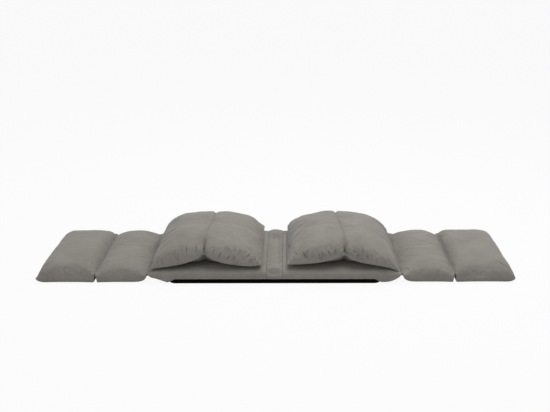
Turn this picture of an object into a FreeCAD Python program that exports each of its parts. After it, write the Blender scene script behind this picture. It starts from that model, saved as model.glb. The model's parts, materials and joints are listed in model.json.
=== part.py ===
import FreeCAD, Part
import math
import os
import re

import Sketcher
from FreeCAD import Placement, Rotation, Vector

# Folding floor chair, lying fully open on the floor.
# X runs from the head end (-X) to the foot end (+X), Y is across, Z is up.
# The recline hinge lies across the chair at x = 0, and the floor is z = 0.
# Every half piece is drawn for the seat, on +X, and turned half round about Z for the back.

DOC = FreeCAD.newDocument("folding_floor_chair")

# Driving dimensions in millimetres and degrees. Each is one cell of the sheet.
SIZES = {
    # recline hinge
    "hinge_height": 34,
    "click_angle": 9,
    "click_count": 9,
    "tooth_radius": 20,
    "root_radius": 16.5,
    "notch_root_angle": 5,
    "notch_mouth_angle": 7.5,
    "cheek_radius": 23,
    "cheek_thickness": 2.5,
    "plate_thickness": 3,
    "plate_gap": 0.25,
    "pivot_diameter": 8,
    "pivot_flats": 13,
    "head_thickness": 2.5,
    "running_gap": 0.05,
    "arm_bottom": 4,
    "arm_height": 19,
    "arm_reach": 110,
    "shank_start": 30,
    "shank_neck": 20,
    "bolt_diameter": 6,
    "bolt_flats": 10,
    "bolt_first": 62,
    "bolt_pitch": 36,
    # pawl and its spring
    "pawl_pivot_x": 40,
    "pawl_pivot_z": 13,
    "pawl_pin_diameter": 5,
    "pawl_pin_head": 8,
    "pawl_boss_radius": 6,
    "pawl_arm_height": 4,
    "pawl_nose_x": 3,
    "pawl_nose_width": 2,
    "pawl_nose_height": 3.5,
    "pawl_lift_gap": 0.4,
    "pawl_bite": 1.9,
    "spring_thickness": 0.8,
    "spring_eye_gap": 0.1,
    "spring_gap": 0.3,
    "spring_tip_x": 16,
    # base cover
    "chair_width": 560,
    "base_start": 4,
    "base_length": 451,
    "base_height": 25,
    "base_wall": 2,
    "base_inset": 2,
    "base_corner": 30,
    # steel frame
    "tube_size": 19,
    "tube_wall": 1.2,
    "tube_lift": 2.1,
    "leg_inset": 26,
    "frame_start": 26,
    "frame_end_inset": 15,
    "cross_size": 16,
    "cross_first": 190,
    "cross_pitch": 160,
    # webbing
    "strap_width": 50,
    "strap_thickness": 1.5,
    "strap_slack": 0.3,
    "strap_first": 150,
    "strap_pitch": 80,
    "strap_count": 4,
    # upholstered pad
    "pad_start": 34,
    "pad_length": 509.7,
    "pad_height": 42,
    "pad_end_round": 12,
    "pad_side_round": 18,
    "cover_thickness": 2,
    "nose_length": 64,
    "nose_drop": 18,
    # hinge gusset
    "gusset_thickness": 1.5,
    "gusset_height": 39,
    "gusset_round": 14,
    "soft_gap": 0.3,
    # thick seat and back pillows
    "pillow_start": 55,
    "pillow_inner_lobe": 247,
    "pillow_outer_lobe": 231,
    "pillow_inner_edge": 22,
    "pillow_outer_drop": 7,
    "pillow_lobe_rise": 107,
    "pillow_lobe_reach": 94,
    "pillow_crown": 127,
    "pillow_channel": 115,
    "pillow_side_inset": 8,
    "pillow_corner_inset": 4,
    "pillow_draw_in": 14,
    "pillow_shoulder": 74,
    "pillow_shoulder_height": 112,
    "pillow_seam": 14,
    "pillow_overhang": 60,
    "notch_rise": 50,
    "notch_radius": 75,
    "notch_depth": 90,
    # thin headrest and leg rest lobes
    "flap_axis_height": 40,
    "welt_diameter": 6,
    "lobe_side_inset": 3,
    "lobe_corner_inset": 2,
    "lobe_draw_in": 9,
    "lobe_height": 82,
    "lobe_brow_height": 80,
    "lobe_crown": 90,
    "lobe_shoulder": 46,
    "lobe_fold_run": 85,
    "lobe_free_run": 50,
    "inner_lobe_length": 226,
    "outer_lobe_length": 256.6,
    # half the thickness where a lobe is sewn to its fold line
    "seam_half": 2,
}

SHEET = DOC.addObject("Spreadsheet::Sheet", "Sizes")
for row, (alias, number) in enumerate(SIZES.items(), start=1):
    SHEET.set(f"A{row}", alias)
    SHEET.set(f"B{row}", str(number))
    SHEET.setAlias(f"B{row}", alias)
DOC.recompute()

# Places worked out from the driving dimensions.
HALF_WIDTH = "chair_width / 2"
BASE_END = "(base_start + base_length)"
BASE_SIDE = "(chair_width / 2 - base_inset)"
TUBE_LOW = "(base_wall + tube_lift)"
TUBE_AXIS = f"({TUBE_LOW} + tube_size / 2)"
LEG_OUTSIDE = "(chair_width / 2 - base_inset - leg_inset + tube_size / 2)"
LEG_FACE = f"({LEG_OUTSIDE} - tube_size)"
LEG_WALL = f"({LEG_FACE} + tube_wall)"
FRAME_END = f"({BASE_END} - frame_end_inset + tube_size / 2)"
ARM_TOP = "(arm_bottom + arm_height)"
PAWL_TOP = "(hinge_height - tooth_radius - pawl_lift_gap - pawl_nose_height)"
PAWL_LOW = f"({PAWL_TOP} - pawl_arm_height)"
PAD_END = "(pad_start + pad_length)"
PAD_TOP = "(base_height + pad_height)"
LAYERS = {
    "outer_cheek": LEG_FACE,
    "ratchet": f"({LEG_FACE} - cheek_thickness - plate_gap)",
    "inner_cheek": f"({LEG_FACE} - cheek_thickness - plate_thickness - 2 * plate_gap)",
}
STACK_END = f"({LAYERS['inner_cheek']} - cheek_thickness)"

FINISHED = []


def bound(text):
    """An expression with each size's name led by the sheet's."""
    return re.sub(r"[a-z][a-z_]*", lambda m: f"Sizes.{m[0]}" if m[0] in SIZES else m[0], text)


def value(text):
    """The number that an expression of sizes gives now."""
    return float(SHEET.evalExpression(text))


def finish(thing, name):
    """Give a finished sub-part the name that its file takes."""
    thing.Label = name
    FINISHED.append(thing)
    return thing


def turned(half):
    """The seat half stays as drawn, and the back half is turned half round about Z."""
    angle = 0 if half == "seat" else 180
    return Placement(Vector(), Rotation(Vector(0, 0, 1), angle))


# Sketches and PartDesign features


def new_body(name):
    return DOC.addObject("PartDesign::Body", f"{name}_body")


def new_sketch(body, plane, lift=None):
    """A sketch on one of the body's own origin planes, raised along its normal by lift."""
    support = next(f for f in body.Origin.OriginFeatures if f.Role == plane)
    sketch = body.newObject("Sketcher::SketchObject", "outline")
    sketch.AttachmentSupport = (support, [""])
    sketch.MapMode = "FlatFace"
    if lift is not None:
        sketch.setExpression("AttachmentOffset.Base.z", bound(lift))
    return sketch


def bind(sketch, constraint, text):
    """Add a dimension and tie it to an expression of sizes."""
    index = sketch.addConstraint(constraint)
    sketch.setExpression(f"Constraints[{index}]", bound(text))


def place_point(sketch, geometry, point, across, up):
    """Dimension a point from the sketch's origin."""
    here = (-1, 1, geometry, point)
    bind(sketch, Sketcher.Constraint("DistanceX", *here, value(across)), across)
    bind(sketch, Sketcher.Constraint("DistanceY", *here, value(up)), up)


def draw_polygon(sketch, corners):
    """Draw a closed outline through corners given as pairs of expressions."""
    first = sketch.GeometryCount
    points = [Vector(value(across), value(up), 0) for across, up in corners]
    count = len(points)
    for start, end in zip(points, points[1:] + points[:1]):
        sketch.addGeometry(Part.LineSegment(start, end))
    for i in range(count):
        follower = first + (i + 1) % count
        sketch.addConstraint(Sketcher.Constraint("Coincident", first + i, 2, follower, 1))
    for i, (across, up) in enumerate(corners):
        place_point(sketch, first + i, 1, across, up)


def draw_circle(sketch, across, up, diameter):
    """Draw a circle whose centre and diameter are expressions."""
    centre = Vector(value(across), value(up), 0)
    index = sketch.addGeometry(Part.Circle(centre, Vector(0, 0, 1), value(diameter) / 2))
    place_point(sketch, index, 3, across, up)
    bind(sketch, Sketcher.Constraint("Diameter", index, value(diameter)), diameter)


def pad(body, sketch, length, reverse=False):
    feature = body.newObject("PartDesign::Pad", "pad")
    feature.Profile = sketch
    feature.Reversed = reverse
    feature.setExpression("Length", bound(length))
    return feature


def pocket_both_ways(body, sketch, reach):
    """Cut a sketch so far to each side of its plane."""
    feature = body.newObject("PartDesign::Pocket", "cut")
    feature.Profile = sketch
    feature.Midplane = True
    feature.setExpression("Length", bound(f"2 * ({reach})"))
    return feature


def pocket_through(body, sketch):
    """Cut a sketch through the whole body, both ways."""
    feature = body.newObject("PartDesign::Pocket", "cut")
    feature.Profile = sketch
    feature.Type = "ThroughAll"
    feature.Midplane = True
    return feature


def pocket_up(body, sketch, depth):
    """Cut a sketch on a level plane upwards."""
    feature = body.newObject("PartDesign::Pocket", "hollow")
    feature.Profile = sketch
    feature.Reversed = True
    feature.setExpression("Length", bound(depth))
    return feature


def round_edges(body, feature, radius, test):
    """Fillet the edges of a feature that pass a test."""
    DOC.recompute()
    names = [f"Edge{i}" for i, edge in enumerate(feature.Shape.Edges, start=1) if test(edge)]
    fillet = body.newObject("PartDesign::Fillet", "fillet")
    fillet.Base = (feature, names)
    fillet.setExpression("Radius", bound(radius))
    return fillet


def is_upright(edge):
    ends = [vertex.Point for vertex in edge.Vertexes]
    return len(ends) == 2 and abs((ends[0] - ends[1]).normalize().z) > 0.99


def at_x(edge, x):
    return all(abs(vertex.Point.x - x) < 0.01 for vertex in edge.Vertexes)


# Base cover: a shallow tray under each half, open at the hinge


def base_cover(half):
    body = new_body(f"{half}_base_cover")
    plan = new_sketch(body, "XY_Plane")
    draw_polygon(plan, [
        ("base_start", f"-{BASE_SIDE}"),
        (BASE_END, f"-{BASE_SIDE}"),
        (BASE_END, BASE_SIDE),
        ("base_start", BASE_SIDE),
    ])
    block = pad(body, plan, "base_height")
    end = value(BASE_END)
    round_edges(body, block, "base_corner", lambda e: is_upright(e) and at_x(e, end))
    hollow = new_sketch(body, "XY_Plane", "base_wall")
    inner_side = f"({BASE_SIDE} - base_wall)"
    inner_end = f"({BASE_END} - base_wall)"
    draw_tray_inside(hollow, inner_end, inner_side, "(base_corner - base_wall)")
    pocket_up(body, hollow, "base_height")
    body.Placement = turned(half)
    return finish(body, f"{half}_base_cover")


def draw_tray_inside(sketch, end, side, corner):
    """The tray's inside in plan. It runs out past the hinge end, and an arc rounds each of its
    two far corners."""
    mouth = value("base_start") - value("base_wall")
    x_end, y_side, radius = value(end), value(side), value(corner)
    x_turn, y_turn = x_end - radius, y_side - radius
    quarter = math.pi / 2
    sketch.addGeometry(Part.LineSegment(Vector(mouth, -y_side, 0), Vector(x_turn, -y_side, 0)))
    near = Part.Circle(Vector(x_turn, -y_turn, 0), Vector(0, 0, 1), radius)
    sketch.addGeometry(Part.ArcOfCircle(near, -quarter, 0))
    sketch.addGeometry(Part.LineSegment(Vector(x_end, -y_turn, 0), Vector(x_end, y_turn, 0)))
    far = Part.Circle(Vector(x_turn, y_turn, 0), Vector(0, 0, 1), radius)
    sketch.addGeometry(Part.ArcOfCircle(far, 0, quarter))
    sketch.addGeometry(Part.LineSegment(Vector(x_turn, y_side, 0), Vector(mouth, y_side, 0)))
    sketch.addGeometry(Part.LineSegment(Vector(mouth, y_side, 0), Vector(mouth, -y_side, 0)))
    for line, end_point, arc, arc_point in ((0, 2, 1, 1), (2, 1, 1, 2), (2, 2, 3, 1), (4, 1, 3, 2)):
        sketch.addConstraint(Sketcher.Constraint("Tangent", line, end_point, arc, arc_point))
    sketch.addConstraint(Sketcher.Constraint("Coincident", 4, 2, 5, 1))
    sketch.addConstraint(Sketcher.Constraint("Coincident", 5, 2, 0, 1))
    place_point(sketch, 5, 2, "base_start - base_wall", f"-{side}")
    place_point(sketch, 5, 1, "base_start - base_wall", side)
    place_point(sketch, 1, 3, f"{end} - {corner}", f"-({side} - {corner})")
    place_point(sketch, 3, 3, f"{end} - {corner}", f"{side} - {corner}")


# Steel frame: a welded square tube, two cross tubes and webbing loops


def frame(half):
    """Two legs and an end rail of square tube, mitred and welded, open at the leg ends. The
    bolts' holes go through the legs' inner walls only."""
    body = new_body(f"{half}_frame")
    outside = new_sketch(body, "XY_Plane", TUBE_LOW)
    draw_polygon(outside, frame_plan("frame_start", "0"))
    pad(body, outside, "tube_size")
    hollow = new_sketch(body, "XY_Plane", f"{TUBE_LOW} + tube_wall")
    draw_polygon(hollow, frame_plan("frame_start - tube_wall", "tube_wall"))
    pocket_up(body, hollow, "tube_size - 2 * tube_wall")
    holes = new_sketch(body, "XZ_Plane")
    for place in ("bolt_first", "bolt_first + bolt_pitch"):
        draw_circle(holes, place, TUBE_AXIS, "bolt_diameter")
    pocket_both_ways(body, holes, f"{LEG_FACE} + tube_size / 2")
    body.Placement = turned(half)
    return finish(body, f"{half}_frame")


def frame_plan(start, inset):
    """The frame's outline in plan, drawn in by inset all round but at its open ends."""
    outer, inner = f"({LEG_OUTSIDE} - {inset})", f"({LEG_FACE} + {inset})"
    end, end_face = f"({FRAME_END} - {inset})", f"({FRAME_END} - tube_size + {inset})"
    return [
        (start, f"-{outer}"),
        (end, f"-{outer}"),
        (end, outer),
        (start, outer),
        (start, inner),
        (end_face, inner),
        (end_face, f"-{inner}"),
        (start, f"-{inner}"),
    ]


def box(low, size):
    """A Part box whose low corner and size are expressions."""
    block = DOC.addObject("Part::Box", "block")
    for axis, place in zip("xyz", low):
        block.setExpression(f"Placement.Base.{axis}", bound(place))
    for name, length in zip(("Length", "Width", "Height"), size):
        block.setExpression(name, bound(length))
    return block


def fuse(things):
    group = DOC.addObject("Part::MultiFuse", "group")
    group.Shapes = things
    return group


def cross_tubes(half):
    """Two square tubes welded between the legs."""
    solid, hollow = [], []
    wall = "tube_wall"
    for place in ("cross_first", "(cross_first + cross_pitch)"):
        low = (f"{place} - cross_size / 2", f"-{LEG_FACE}", f"{TUBE_AXIS} - cross_size / 2")
        solid.append(box(low, ("cross_size", f"2 * {LEG_FACE}", "cross_size")))
        bore = f"(cross_size - 2 * {wall})"
        low = (f"{place} - {bore} / 2", f"-{LEG_FACE}", f"{TUBE_AXIS} - {bore} / 2")
        hollow.append(box(low, (bore, f"2 * {LEG_FACE}", bore)))
    tubes = DOC.addObject("Part::Cut", f"{half}_cross_tubes")
    tubes.Base = fuse(solid)
    tubes.Tool = fuse(hollow)
    tubes.Placement = turned(half)
    return finish(tubes, f"{half}_cross_tubes")


def webbing(half):
    """Elastic straps, each one loop round both legs."""
    body = new_body(f"{half}_webbing")
    loop = new_sketch(body, "YZ_Plane", "strap_first - strap_width / 2")
    for gap in ("(strap_slack + strap_thickness)", "strap_slack"):
        side = f"({LEG_OUTSIDE} + {gap})"
        low, high = f"{TUBE_LOW} - {gap}", f"{TUBE_LOW} + tube_size + {gap}"
        draw_polygon(loop, [(f"-{side}", low), (side, low), (side, high), (f"-{side}", high)])
    strap = pad(body, loop, "strap_width")
    row = body.newObject("PartDesign::LinearPattern", "row")
    row.Originals = [strap]
    row.Direction = (loop, ["N_Axis"])
    row.setExpression("Length", bound("strap_pitch * (strap_count - 1)"))
    row.setExpression("Occurrences", bound("strap_count"))
    body.Tip = row
    body.Placement = turned(half)
    return finish(body, f"{half}_webbing")


# Ratchet hinge: on each side a toothed plate on the back runs between two cheeks on the seat


def side_placed(thing, side, face, thickness):
    """Put a plate drawn on the XZ plane, which grows towards -Y, in its layer.
    The layer's outer face is that far from the chair's middle plane."""
    shift = face if side == "left" else f"{thickness} - {face}"
    thing.setExpression("Placement.Base.y", bound(shift))


def cheek(side, layer):
    body = new_body(f"{side}_{layer}")
    disc = new_sketch(body, "XZ_Plane")
    draw_circle(disc, "0", "hinge_height", "2 * cheek_radius")
    pad(body, disc, "cheek_thickness")
    arm = new_sketch(body, "XZ_Plane")
    draw_polygon(arm, [
        ("-cheek_radius * 0.6", "hinge_height - cheek_radius * 0.8"),
        ("-arm_bottom", "arm_bottom"),
        ("arm_reach", "arm_bottom"),
        ("arm_reach", ARM_TOP),
        ("cheek_radius + arm_bottom", ARM_TOP),
        ("cheek_radius * 0.8", "hinge_height + cheek_radius * 0.6"),
    ])
    plate = pad(body, arm, "cheek_thickness")
    end = value("arm_reach")
    round_edges(body, plate, "arm_height / 3", lambda e: is_crosswise(e) and at_x(e, end))
    holes = new_sketch(body, "XZ_Plane")
    draw_circle(holes, "0", "hinge_height", "pivot_diameter")
    draw_circle(holes, "pawl_pivot_x", "pawl_pivot_z", "pawl_pin_diameter")
    for place in ("bolt_first", "bolt_first + bolt_pitch"):
        draw_circle(holes, place, TUBE_AXIS, "bolt_diameter")
    pocket_through(body, holes)
    side_placed(body, side, LAYERS[layer], "cheek_thickness")
    return finish(body, f"{side}_{layer}")


def is_crosswise(edge):
    ends = [vertex.Point for vertex in edge.Vertexes]
    return len(ends) == 2 and abs((ends[0] - ends[1]).normalize().y) > 0.99


def ratchet_plate(side):
    """The toothed disc and the shank that carries it on the back's leg. The first notch faces
    the pawl's nose when the chair lies flat, and one notch comes round for each click."""
    body = new_body(f"{side}_ratchet_plate")
    disc = new_sketch(body, "XZ_Plane")
    draw_circle(disc, "0", "hinge_height", "2 * tooth_radius")
    pad(body, disc, "plate_thickness")
    shank = new_sketch(body, "XZ_Plane")
    draw_polygon(shank, [
        ("0", "hinge_height + shank_neck / 2"),
        ("-shank_start", ARM_TOP),
        ("-arm_reach", ARM_TOP),
        ("-arm_reach", "arm_bottom"),
        ("-shank_start", "arm_bottom"),
        ("-shank_neck / 4", "hinge_height - root_radius"),
    ])
    pad(body, shank, "plate_thickness")
    foot = new_sketch(body, "XZ_Plane")
    draw_polygon(foot, [
        ("-arm_reach", "arm_bottom"),
        ("-shank_start", "arm_bottom"),
        ("-shank_start", ARM_TOP),
        ("-arm_reach", ARM_TOP),
    ])
    spacer = "cheek_thickness + plate_gap"
    pad(body, foot, spacer if side == "left" else f"plate_thickness + {spacer}", reverse=side == "left")
    holes = new_sketch(body, "XZ_Plane")
    draw_circle(holes, "0", "hinge_height", "pivot_diameter + 2 * running_gap")
    for place in ("-bolt_first", "-(bolt_first + bolt_pitch)"):
        draw_circle(holes, place, TUBE_AXIS, "bolt_diameter")
    pocket_through(body, holes)
    notch = new_sketch(body, "XZ_Plane")
    draw_notch(notch)
    first = pocket_through(body, notch)
    body.Tip = first
    DOC.recompute()
    ring = body.newObject("PartDesign::PolarPattern", "notches")
    ring.Originals = [first]
    ring.Axis = (disc_axis(body), [""])
    ring.setExpression("Angle", bound("click_angle * click_count"))
    ring.setExpression("Occurrences", bound("click_count + 1"))
    body.Tip = ring
    side_placed(body, side, LAYERS["ratchet"], "plate_thickness")
    return finish(body, f"{side}_ratchet_plate")


def disc_axis(body):
    """A datum line along Y through the hinge's centre."""
    line = body.newObject("PartDesign::Line", "pivot_line")
    line.Placement = Placement(Vector(), Rotation(Vector(1, 0, 0), 90))
    line.setExpression("Placement.Base.z", bound("hinge_height"))
    return line


def draw_notch(sketch):
    """The gap between two teeth: a wedge over the pawl's nose, from the root out past the tips."""
    lean = "atan(pawl_nose_x / (tooth_radius - pawl_bite))"
    rim = [
        ("root_radius", f"({lean} - notch_root_angle / 2 * 1 deg)"),
        ("(tooth_radius + 1)", f"({lean} - notch_mouth_angle / 2 * 1 deg)"),
        ("(tooth_radius + 1)", f"({lean} + notch_mouth_angle / 2 * 1 deg)"),
        ("root_radius", f"({lean} + notch_root_angle / 2 * 1 deg)"),
    ]
    draw_polygon(sketch, [
        (f"{radius} * sin({angle})", f"hinge_height - {radius} * cos({angle})")
        for radius, angle in rim
    ])


def pawl(side):
    """A lever under the toothed disc. At rest its nose lies clear of the teeth."""
    body = new_body(f"{side}_pawl")
    boss = new_sketch(body, "XZ_Plane")
    draw_circle(boss, "pawl_pivot_x", "pawl_pivot_z", "2 * pawl_boss_radius")
    pad(body, boss, "plate_thickness")
    arm = new_sketch(body, "XZ_Plane")
    draw_polygon(arm, [
        ("pawl_nose_x - pawl_nose_width", PAWL_LOW),
        ("pawl_pivot_x", "pawl_pivot_z - pawl_boss_radius + 1"),
        ("pawl_pivot_x", "pawl_pivot_z + pawl_boss_radius / 2"),
        ("pawl_nose_x + 3 * pawl_nose_width", PAWL_TOP),
        ("pawl_nose_x + pawl_nose_width / 2", PAWL_TOP),
        ("pawl_nose_x + pawl_nose_width / 4", f"{PAWL_TOP} + pawl_nose_height"),
        ("pawl_nose_x - pawl_nose_width / 4", f"{PAWL_TOP} + pawl_nose_height"),
        ("pawl_nose_x - pawl_nose_width / 2", PAWL_TOP),
        ("pawl_nose_x - pawl_nose_width", PAWL_TOP),
    ])
    pad(body, arm, "plate_thickness")
    hole = new_sketch(body, "XZ_Plane")
    draw_circle(hole, "pawl_pivot_x", "pawl_pivot_z", "pawl_pin_diameter + 2 * running_gap")
    pocket_through(body, hole)
    side_placed(body, side, LAYERS["ratchet"], "plate_thickness")
    return finish(body, f"{side}_pawl")


def pawl_spring(side):
    """A leaf hooked round the first bolt, its free end under the pawl's arm."""
    body = new_body(f"{side}_pawl_spring")
    bore = "(bolt_diameter + 2 * spring_eye_gap)"
    eye = new_sketch(body, "XZ_Plane")
    draw_circle(eye, "bolt_first", TUBE_AXIS, f"{bore} + 2 * spring_thickness")
    draw_circle(eye, "bolt_first", TUBE_AXIS, bore)
    pad(body, eye, "plate_thickness")
    leaf = new_sketch(body, "XZ_Plane")
    eye_low = f"({TUBE_AXIS} - {bore} / 2 - spring_thickness)"
    pass_z = "(pawl_pivot_z - pawl_boss_radius - spring_gap)"
    pass_x = "(pawl_pivot_x + pawl_boss_radius)"
    tip_z = f"(min({PAWL_LOW}; {pass_z}) - spring_gap / 2)"
    draw_polygon(leaf, [
        ("bolt_first", eye_low),
        ("bolt_first", f"{eye_low} + spring_thickness"),
        (pass_x, pass_z),
        ("pawl_pivot_x - pawl_boss_radius", pass_z),
        ("spring_tip_x", tip_z),
        ("spring_tip_x", f"{tip_z} - spring_thickness"),
        ("pawl_pivot_x - pawl_boss_radius", f"{pass_z} - spring_thickness"),
        (pass_x, f"{pass_z} - spring_thickness"),
    ])
    pad(body, leaf, "plate_thickness")
    side_placed(body, side, LAYERS["ratchet"], "plate_thickness")
    return finish(body, f"{side}_pawl_spring")


def rod(side, place, diameter, start, end):
    """A cylinder along Y between two distances from the chair's middle plane."""
    piece = DOC.addObject("Part::Cylinder", "rod")
    piece.setExpression("Radius", bound(f"({diameter}) / 2"))
    return laid_across(piece, side, place, start, end)


def hexagon(side, place, flats, start, end):
    """A six-sided head or nut along Y, so wide across its flats."""
    piece = DOC.addObject("Part::Prism", "hexagon")
    piece.Polygon = 6
    piece.setExpression("Circumradius", bound(f"({flats}) / sqrt(3)"))
    return laid_across(piece, side, place, start, end)


def laid_across(piece, side, place, start, end):
    piece.Placement = Placement(Vector(), Rotation(Vector(1, 0, 0), -90))
    piece.setExpression("Height", bound(f"({end}) - ({start})"))
    piece.setExpression("Placement.Base.x", bound(place[0]))
    piece.setExpression("Placement.Base.y", bound(start if side == "left" else f"-({end})"))
    piece.setExpression("Placement.Base.z", bound(place[1]))
    return piece


def bolts(name, places, diameter, flats, inner_face, outer_face):
    """Bolts along Y on both sides of the chair, at places given as (x, z). Each has its head on
    the inner face and its nut on the outer one."""
    pieces = []
    for side in ("right", "left"):
        for place in places:
            pieces.append(fuse([
                rod(side, place, diameter, inner_face, outer_face),
                hexagon(side, place, flats, f"{inner_face} - head_thickness", inner_face),
                hexagon(side, place, flats, outer_face, f"{outer_face} + head_thickness"),
            ]))
    return finish(fuse(pieces), name)


def plate_bolts(name, sign, inner_face):
    """The four bolts that hold one half's hinge plates. Their nuts are inside the legs."""
    places = [(f"{sign}bolt_first", TUBE_AXIS), (f"{sign}(bolt_first + bolt_pitch)", TUBE_AXIS)]
    return bolts(name, places, "bolt_diameter", "bolt_flats", inner_face, LEG_WALL)


def pawl_pins():
    """Each pin has a head on the inner cheek and ends flush with the outer one."""
    pins = []
    place = ("pawl_pivot_x", "pawl_pivot_z")
    for side in ("right", "left"):
        pins.append(fuse([
            rod(side, place, "pawl_pin_diameter", STACK_END, LEG_FACE),
            rod(side, place, "pawl_pin_head", f"{STACK_END} - head_thickness", STACK_END),
        ]))
    return finish(fuse(pins), "pawl_pins")


# Soft pieces: outlines of lines and arcs, extruded and trimmed by one another


def outline(start, *moves):
    """A closed face. Each move goes to a point, or by an arc through one point to another, and
    a last line closes the outline if the moves don't."""
    edges, here = [], start
    for move in moves:
        through, end = move if isinstance(move, tuple) else (None, move)
        edges.append(Part.Arc(here, through, end) if through else Part.LineSegment(here, end))
        here = end
    if not here.isEqual(start, 0.001):
        edges.append(Part.LineSegment(here, start))
    return Part.Face(Part.Wire([edge.toShape() for edge in edges]))


def side_view(x, z):
    return Vector(x, 0, z)


def end_view(y, z):
    return Vector(0, y, z)


def across(face, half):
    """A side view's face, run across the chair from -half to half."""
    prism = face.extrude(Vector(0, 2 * half, 0))
    prism.translate(Vector(0, -half, 0))
    return prism


def one_solid(shape):
    """The solid that a boolean leaves."""
    return max(shape.Solids, key=lambda solid: solid.Volume)


def feature(name, shape, half="seat"):
    thing = DOC.addObject("Part::Feature", name)
    thing.Shape = shape
    thing.Placement = turned(half)
    return finish(thing, name)


def quarter(radius):
    """How far a quarter round's middle lies from the corner it cuts, along each side."""
    return radius * (1 - math.sqrt(0.5))


# Upholstered pad: a foam slab with an upturned nose, in a fabric cover


def pad_solid(inset):
    """The pad with its top, sides and ends drawn in by inset. It is open to the base below."""
    low = value("base_height")
    top = value(PAD_TOP) - inset
    start = value("pad_start") + inset
    end = value(PAD_END) - 1.5 * inset
    root = value(BASE_END) + value("soft_gap") + inset
    crest = value(PAD_END) - value("nose_length")
    tip = value("flap_axis_height")
    under = low - value("nose_drop") + inset
    corner = value("pad_end_round") - inset
    bevel = quarter(corner)
    side = outline(
        side_view(start, low),
        side_view(start, top - corner),
        (side_view(start + bevel, top - bevel), side_view(start + corner, top)),
        side_view(crest, top),
        (side_view(0.38 * crest + 0.62 * end, 0.75 * top + 0.25 * tip), side_view(end, tip)),
        (side_view((end + root) / 2, 0.42 * tip + 0.58 * under - inset / 2), side_view(root, under)),
        side_view(root, low),
    )
    half = value(HALF_WIDTH) - inset
    corner = value("pad_side_round") - inset
    bevel = quarter(corner)
    section = outline(
        end_view(-half, 0),
        end_view(-half, top - corner),
        (end_view(bevel - half, top - bevel), end_view(corner - half, top)),
        end_view(half - corner, top),
        (end_view(half - bevel, top - bevel), end_view(half, top - corner)),
        end_view(half, 0),
    )
    return one_solid(across(side, half).common(section.extrude(Vector(end + start, 0, 0))))


def upholstered_pad(half):
    foam = pad_solid(value("cover_thickness"))
    feature(f"{half}_foam", foam, half)
    feature(f"{half}_pad_cover", one_solid(pad_solid(0).cut(foam)), half)


def gusset_solid(inset):
    """The bridge between the two pads with its top, ends and sides drawn in by inset."""
    half = value("pad_start") - value("soft_gap") - inset
    low = value("base_height") + value("soft_gap") - inset
    top = value("base_height") + value("gusset_height") - inset
    corner = value("gusset_round") - inset
    bevel = quarter(corner)
    side = outline(
        side_view(-half, low),
        side_view(-half, top - corner),
        (side_view(bevel - half, top - bevel), side_view(corner - half, top)),
        side_view(half - corner, top),
        (side_view(half - bevel, top - bevel), side_view(half, top - corner)),
        side_view(half, low),
    )
    return across(side, value(HALF_WIDTH) - inset)


def hinge_gusset():
    """The fabric that bridges the two pads over the hinge, with a panel at each side."""
    shell = gusset_solid(0).cut(gusset_solid(value("gusset_thickness")))
    feature("hinge_gusset", one_solid(shell))


# How a stuffed outline swells, as shares of its run and of its rise: out from a seam, and up
# beside a fold line. A lobe touches the floor that share of its run in from its end.
SEAM_BULGE = (0.24, 0.66)
LOBE_CLIMB = (0.47, 0.63)
LOBE_FOOT = 0.7

# Stuffed pillows. Each is a crowned side view run across the chair, then trimmed by an end view
# that rounds its long sides and by a plan that draws them in between the sewn corners.


def stuffed_section(half, seam, top, crown, shoulder, low, overhang, length):
    """The end view of a stuffed pillow, run along X. Its long sides are sewn at the seam's
    height, its shoulders reach top and its middle reaches crown."""
    bulge, lift = SEAM_BULGE
    over, under = seam + lift * (top - seam), seam - lift * (seam - low)
    face = outline(
        end_view(-half, seam),
        (end_view(bulge * shoulder - half, over), end_view(shoulder - half, top)),
        (end_view(0, crown), end_view(half - shoulder, top)),
        (end_view(half - bulge * shoulder, over), end_view(half, seam)),
        (end_view(half - bulge * overhang, under), end_view(half - overhang, low)),
        end_view(overhang - half, low),
        (end_view(bulge * overhang - half, under), end_view(-half, seam)),
    )
    return face.extrude(Vector(length, 0, 0))


def plan_prism(points):
    """A plan's outline, mirrored about the chair's middle plane. Points are (x, y) and each
    second one is the middle of an arc."""
    here = [Vector(x, y, 0) for x, y in points]
    there = [Vector(x, -y, 0) for x, y in reversed(points)]
    moves = list(zip(here[1::2], here[2::2])) + [there[0]] + list(zip(there[1::2], there[2::2]))
    return outline(here[0], *moves).extrude(Vector(0, 0, 2 * value("chair_width")))


def thick_pillow(half):
    """The pillow on the pad: two lobes sewn through at a channel, lying flat on the pad's top."""
    base = value(PAD_TOP)
    start = value("pillow_start")
    channel = start + value("pillow_inner_lobe")
    end = channel + value("pillow_outer_lobe")
    rise, reach = base + value("pillow_lobe_rise"), value("pillow_lobe_reach")
    bottom = base - value("pad_height") / 2
    side = outline(
        side_view(start, base + value("pillow_inner_edge")),
        (side_view(start + reach, rise), side_view(channel, base + value("pillow_channel"))),
        (side_view(end - reach, rise), side_view(end, base - value("pillow_outer_drop"))),
        side_view(end - reach / 4, bottom),
        side_view(start + reach / 2, bottom),
    )
    width = value(HALF_WIDTH) - value("pillow_side_inset")
    seam = base + value("pillow_seam")
    top, crown = base + value("pillow_shoulder_height"), base + value("pillow_crown")
    shoulder, overhang = value("pillow_shoulder"), value("pillow_overhang")
    section = stuffed_section(width, seam, top, crown, shoulder, bottom, overhang, end + start)
    corner = width - value("pillow_corner_inset")
    waist = width - value("pillow_draw_in")
    plan = plan_prism([
        (start - 1, corner),
        ((start + channel) / 2, width),
        (channel, waist),
        ((channel + end) / 2, width),
        (end + 1, corner),
    ])
    body = one_solid(across(side, width).common(section).common(plan))
    for way in (-1, 1):
        body = body.cut(side_notch(channel, way, width, base))
    feature(f"{half}_pillow", one_solid(body.cut(pad_solid(-value("soft_gap")))), half)


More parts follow.
